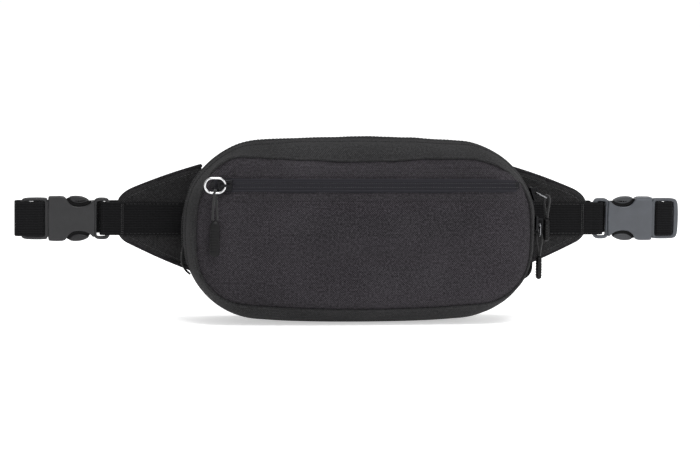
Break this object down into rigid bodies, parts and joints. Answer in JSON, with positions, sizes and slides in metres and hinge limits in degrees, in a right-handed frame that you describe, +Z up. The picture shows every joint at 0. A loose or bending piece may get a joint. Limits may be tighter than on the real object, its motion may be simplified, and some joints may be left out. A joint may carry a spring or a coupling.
{
  "type": "waist pack",
  "caption": "Padded waist pack with a front zip pocket, a wrap-round main zip, tapered wings and a webbing belt with side-release buckles.",
  "frame": {"origin": "middle of the flat base that the pack stands on", "axes": "+Z up, the front panel faces -Y, the belt runs along X"},
  "size_m": [0.5086, 0.093, 0.1389],
  "materials": {
    "shell_fabric": "woven polyester",
    "gusset_fabric": "woven polyester",
    "wing_fabric": "woven polyester",
    "lining_fabric": "thin woven polyester",
    "back_mesh": "knitted spacer mesh",
    "foam": "closed cell foam",
    "piping_fabric": "woven polyester",
    "webbing": "ribbed webbing",
    "zip_tape": "knitted zip tape with a nylon coil",
    "pull_cord": "braided cord",
    "pull_grip": "textured moulding",
    "slider_metal": "black lacquer",
    "ring_metal": "bright",
    "buckle_dark": "satin moulded acetal",
    "buckle_grey": "satin moulded acetal",
    "elastic": "ribbed elastic"
  },
  "bodies": {
    "pack": {"gusset_front": "gusset_fabric", "gusset_back": "gusset_fabric", "gusset_bottom": "gusset_fabric", "main_zip_tape": "zip_tape", "front_panel_lower": "shell_fabric", "front_panel_upper": "shell_fabric", "front_zip_tape": "zip_tape", "front_zip_stops": "slider_metal", "front_piping": "piping_fabric", "back_binding": "piping_fabric", "back_panel": "gusset_fabric", "back_pad": "back_mesh", "front_pocket_wall": "lining_fabric", "slip_pocket": "lining_fabric", "end_tab_right": "webbing", "end_tab_left": "webbing"},
    "front_slider": {"front_slider": "slider_metal"},
    "front_ring": {"front_ring": "ring_metal"},
    "front_pull": {"front_pull_cord": "pull_cord", "front_pull_grip": "pull_grip"},
    "upper_slider": {"upper_slider": "slider_metal"},
    "upper_ring": {"upper_ring": "ring_metal"},
    "upper_pull": {"upper_pull_cord": "pull_cord", "upper_pull_grip": "pull_grip"},
    "lower_slider": {"lower_slider": "slider_metal"},
    "lower_ring": {"lower_ring": "ring_metal"},
    "lower_pull": {"lower_pull_cord": "pull_cord", "lower_pull_grip": "pull_grip"},
    "wing_right": {"wing_shell_right": "wing_fabric", "wing_foam_right": "foam", "wing_webbing_right": "webbing", "socket_right": "buckle_grey"},
    "plug_right": {"plug_right": "buckle_grey", "belt_fold_right": "webbing"},
    "arm_upper_right": {"arm_upper_right": "buckle_grey"},
    "arm_lower_right": {"arm_lower_right": "buckle_grey"},
    "belt_side_right": {"belt_side_right": "webbing"},
    "belt_back_right": {"belt_back_right": "webbing", "belt_keeper": "elastic"},
    "wing_left": {"wing_shell_left": "wing_fabric", "wing_foam_left": "foam", "wing_webbing_left": "webbing", "socket_left": "buckle_dark"},
    "plug_left": {"plug_left": "buckle_dark", "belt_fold_left": "webbing"},
    "arm_upper_left": {"arm_upper_left": "buckle_dark"},
    "arm_lower_left": {"arm_lower_left": "buckle_dark"},
    "belt_side_left": {"belt_side_left": "webbing"},
    "belt_back_left": {"belt_back_left": "webbing"}
  },
  "joints": [
    {"name": "wing_right_fold", "type": "hinge", "parent": "pack", "child": "wing_right", "pos_m": [0.133, 0.024, 0.075], "axis": [0, 0, 1], "range_deg": [0, 60]},
    {"name": "wing_left_fold", "type": "hinge", "parent": "pack", "child": "wing_left", "pos_m": [-0.133, 0.024, 0.075], "axis": [0, 0, 1], "range_deg": [-60, 0]},
    {"name": "plug_right_slide", "type": "slide", "parent": "wing_right", "child": "plug_right", "axis": [1, 0, 0], "range_m": [0, 0.034], "deforming": ["arm_upper_right", "arm_lower_right"]},
    {"name": "arm_upper_right_squeeze", "type": "hinge", "parent": "plug_right", "child": "arm_upper_right", "pos_m": [0.2287, 0.024, 0.0847], "axis": [0, -1, 0], "range_deg": [0, 9], "stiffness_Nm_per_rad": 0.05},
    {"name": "arm_lower_right_squeeze", "type": "hinge", "parent": "plug_right", "child": "arm_lower_right", "pos_m": [0.2287, 0.024, 0.0653], "axis": [0, -1, 0], "range_deg": [-9, 0], "stiffness_Nm_per_rad": 0.05},
    {"name": "belt_fold_right_hinge", "type": "hinge", "parent": "plug_right", "child": "belt_side_right", "pos_m": [0.243, 0.034, 0.075], "axis": [0, 0, 1], "range_deg": [-120, 0]},
    {"name": "belt_back_right_hinge", "type": "hinge", "parent": "belt_side_right", "child": "belt_back_right", "pos_m": [0.133, 0.044, 0.075], "axis": [0, 0, 1], "range_deg": [0, 60]},
    {"name": "plug_left_slide", "type": "slide", "parent": "wing_left", "child": "plug_left", "axis": [-1, 0, 0], "range_m": [0, 0.034], "deforming": ["arm_upper_left", "arm_lower_left"]},
    {"name": "arm_upper_left_squeeze", "type": "hinge", "parent": "plug_left", "child": "arm_upper_left", "pos_m": [-0.2287, 0.024, 0.0847], "axis": [0, 1, 0], "range_deg": [0, 9], "stiffness_Nm_per_rad": 0.05},
    {"name": "arm_lower_left_squeeze", "type": "hinge", "parent": "plug_left", "child": "arm_lower_left", "pos_m": [-0.2287, 0.024, 0.0653], "axis": [0, 1, 0], "range_deg": [-9, 0], "stiffness_Nm_per_rad": 0.05},
    {"name": "belt_fold_left_hinge", "type": "hinge", "parent": "plug_left", "child": "belt_side_left", "pos_m": [-0.243, 0.034, 0.075], "axis": [0, 0, 1], "range_deg": [0, 120]},
    {"name": "belt_back_left_hinge", "type": "hinge", "parent": "belt_side_left", "child": "belt_back_left", "pos_m": [-0.133, 0.044, 0.075], "axis": [0, 0, 1], "range_deg": [-60, 0]},
    {"name": "front_slider_slide", "type": "slide", "parent": "pack", "child": "front_slider", "axis": [1, 0, 0], "range_m": [0, 0.21]},
    {"name": "front_ring_lift", "type": "hinge", "parent": "front_slider", "child": "front_ring", "pos_m": [-0.1046, -0.043, 0.1054], "axis": [0, 0, 1], "range_deg": [0, 170]},
    {"name": "front_pull_swing", "type": "hinge", "parent": "front_ring", "child": "front_pull", "pos_m": [-0.112, -0.043, 0.1], "axis": [0, 1, 0], "range_deg": [-30, 30], "deforming": ["front_pull_cord"]},
    {"name": "upper_slider_travel", "type": "hinge", "parent": "pack", "child": "upper_slider", "pos_m": [0.07288, -0.004, 0.07622], "axis": [0, -1, 0], "range_deg": [0, 61]},
    {"name": "upper_ring_lift", "type": "hinge", "parent": "upper_slider", "child": "upper_ring", "pos_m": [0.13387, -0.004, 0.09722], "axis": [0, -1, 0], "range_deg": [0, 110]},
    {"name": "upper_pull_lift", "type": "hinge", "parent": "upper_ring", "child": "upper_pull", "pos_m": [0.14275, -0.004, 0.09308], "axis": [0, -1, 0], "range_deg": [0, 60], "deforming": ["upper_pull_cord"]},
    {"name": "lower_slider_slide", "type": "slide", "parent": "pack", "child": "lower_slider", "axis": [0, 0, -1], "range_m": [0, 0.018]},
    {"name": "lower_ring_lift", "type": "hinge", "parent": "lower_slider", "child": "lower_ring", "pos_m": [0.1375, -0.004, 0.074], "axis": [0, -1, 0], "range_deg": [0, 110]},
    {"name": "lower_pull_swing", "type": "hinge", "parent": "lower_ring", "child": "lower_pull", "pos_m": [0.1375, -0.004, 0.0642], "axis": [1, 0, 0], "range_deg": [-30, 30], "deforming": ["lower_pull_cord"]}
  ],
  "couplings": [
    {"joint": "wing_left_fold", "follows": "wing_right_fold", "ratio": -1},
    {"joint": "arm_lower_right_squeeze", "follows": "arm_upper_right_squeeze", "ratio": -1},
    {"joint": "belt_fold_right_hinge", "follows": "wing_right_fold", "ratio": -2},
    {"joint": "belt_back_right_hinge", "follows": "wing_right_fold", "ratio": 1},
    {"joint": "arm_lower_left_squeeze", "follows": "arm_upper_left_squeeze", "ratio": -1},
    {"joint": "belt_fold_left_hinge", "follows": "wing_right_fold", "ratio": 2},
    {"joint": "belt_back_left_hinge", "follows": "wing_right_fold", "ratio": -1},
    {"joint": "upper_ring_lift", "follows": "lower_ring_lift", "ratio": 1}
  ]
}
